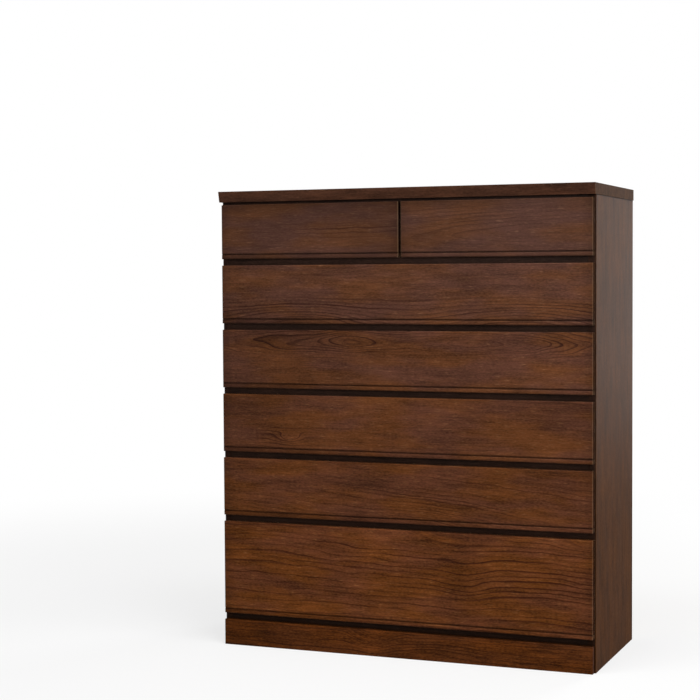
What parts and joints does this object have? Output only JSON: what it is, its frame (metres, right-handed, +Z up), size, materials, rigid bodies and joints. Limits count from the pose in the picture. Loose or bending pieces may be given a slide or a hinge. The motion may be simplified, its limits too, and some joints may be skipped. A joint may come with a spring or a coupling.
{
  "type": "clothing chest of drawers",
  "caption": "Low handleless clothing chest: side-by-side small drawers over full-width drawers and a deep one, pulled by lips under their fronts, on a plinth.",
  "frame": {"origin": "on the floor, under the middle of the chest's overall box", "axes": "+Z up, -Y out of the drawer fronts, +X to the viewer's right when facing the fronts"},
  "size_m": [1.02, 0.44, 1.2138],
  "materials": {
    "stained_fronts": "satin lacquer over walnut-brown stain",
    "stained_carcass": "satin lacquer over walnut-brown stain",
    "bare_paulownia": "planed and unfinished",
    "beech_dowels": "turned and unfinished",
    "zinc_screws": "zinc plated"
  },
  "bodies": {
    "carcass": {"back_panel": "bare_paulownia", "back_panel_screws": "zinc_screws", "bottom_board": "bare_paulownia", "bottom_rail": "stained_carcass", "centre_divider": "stained_carcass", "dust_shelf_1": "bare_paulownia", "dust_shelf_2": "bare_paulownia", "dust_shelf_3": "bare_paulownia", "dust_shelf_4": "bare_paulownia", "dust_shelf_5": "bare_paulownia", "front_rail_1": "stained_carcass", "front_rail_2": "stained_carcass", "front_rail_3": "stained_carcass", "front_rail_4": "stained_carcass", "front_rail_5": "stained_carcass", "left_side_panel": "stained_carcass", "plinth_blocks": "bare_paulownia", "plinth_front": "stained_carcass", "plinth_rear": "bare_paulownia", "right_side_panel": "stained_carcass", "top_board": "stained_carcass", "top_dowels": "beech_dowels", "top_rail": "stained_carcass"},
    "deep_drawer": {"deep_drawer_back": "bare_paulownia", "deep_drawer_bottom": "bare_paulownia", "deep_drawer_front": "stained_fronts", "deep_drawer_left_side": "bare_paulownia", "deep_drawer_right_side": "bare_paulownia"},
    "fifth_drawer": {"fifth_drawer_back": "bare_paulownia", "fifth_drawer_bottom": "bare_paulownia", "fifth_drawer_front": "stained_fronts", "fifth_drawer_left_side": "bare_paulownia", "fifth_drawer_right_side": "bare_paulownia"},
    "fourth_drawer": {"fourth_drawer_back": "bare_paulownia", "fourth_drawer_bottom": "bare_paulownia", "fourth_drawer_front": "stained_fronts", "fourth_drawer_left_side": "bare_paulownia", "fourth_drawer_right_side": "bare_paulownia"},
    "third_drawer": {"third_drawer_back": "bare_paulownia", "third_drawer_bottom": "bare_paulownia", "third_drawer_front": "stained_fronts", "third_drawer_left_side": "bare_paulownia", "third_drawer_right_side": "bare_paulownia"},
    "second_drawer": {"second_drawer_back": "bare_paulownia", "second_drawer_bottom": "bare_paulownia", "second_drawer_front": "stained_fronts", "second_drawer_left_side": "bare_paulownia", "second_drawer_right_side": "bare_paulownia"},
    "upper_left_drawer": {"upper_left_drawer_back": "bare_paulownia", "upper_left_drawer_bottom": "bare_paulownia", "upper_left_drawer_front": "stained_fronts", "upper_left_drawer_left_side": "bare_paulownia", "upper_left_drawer_right_side": "bare_paulownia"},
    "upper_right_drawer": {"upper_right_drawer_back": "bare_paulownia", "upper_right_drawer_bottom": "bare_paulownia", "upper_right_drawer_front": "stained_fronts", "upper_right_drawer_left_side": "bare_paulownia", "upper_right_drawer_right_side": "bare_paulownia"}
  },
  "joints": [
    {"name": "deep_drawer_slide", "type": "slide", "parent": "carcass", "child": "deep_drawer", "axis": [0, -1, 0], "range_m": [0, 0.3]},
    {"name": "fifth_drawer_slide", "type": "slide", "parent": "carcass", "child": "fifth_drawer", "axis": [0, -1, 0], "range_m": [0, 0.3]},
    {"name": "fourth_drawer_slide", "type": "slide", "parent": "carcass", "child": "fourth_drawer", "axis": [0, -1, 0], "range_m": [0, 0.3]},
    {"name": "third_drawer_slide", "type": "slide", "parent": "carcass", "child": "third_drawer", "axis": [0, -1, 0], "range_m": [0, 0.3]},
    {"name": "second_drawer_slide", "type": "slide", "parent": "carcass", "child": "second_drawer", "axis": [0, -1, 0], "range_m": [0, 0.3]},
    {"name": "upper_left_drawer_slide", "type": "slide", "parent": "carcass", "child": "upper_left_drawer", "axis": [0, -1, 0], "range_m": [0, 0.3]},
    {"name": "upper_right_drawer_slide", "type": "slide", "parent": "carcass", "child": "upper_right_drawer", "axis": [0, -1, 0], "range_m": [0, 0.3]}
  ]
}
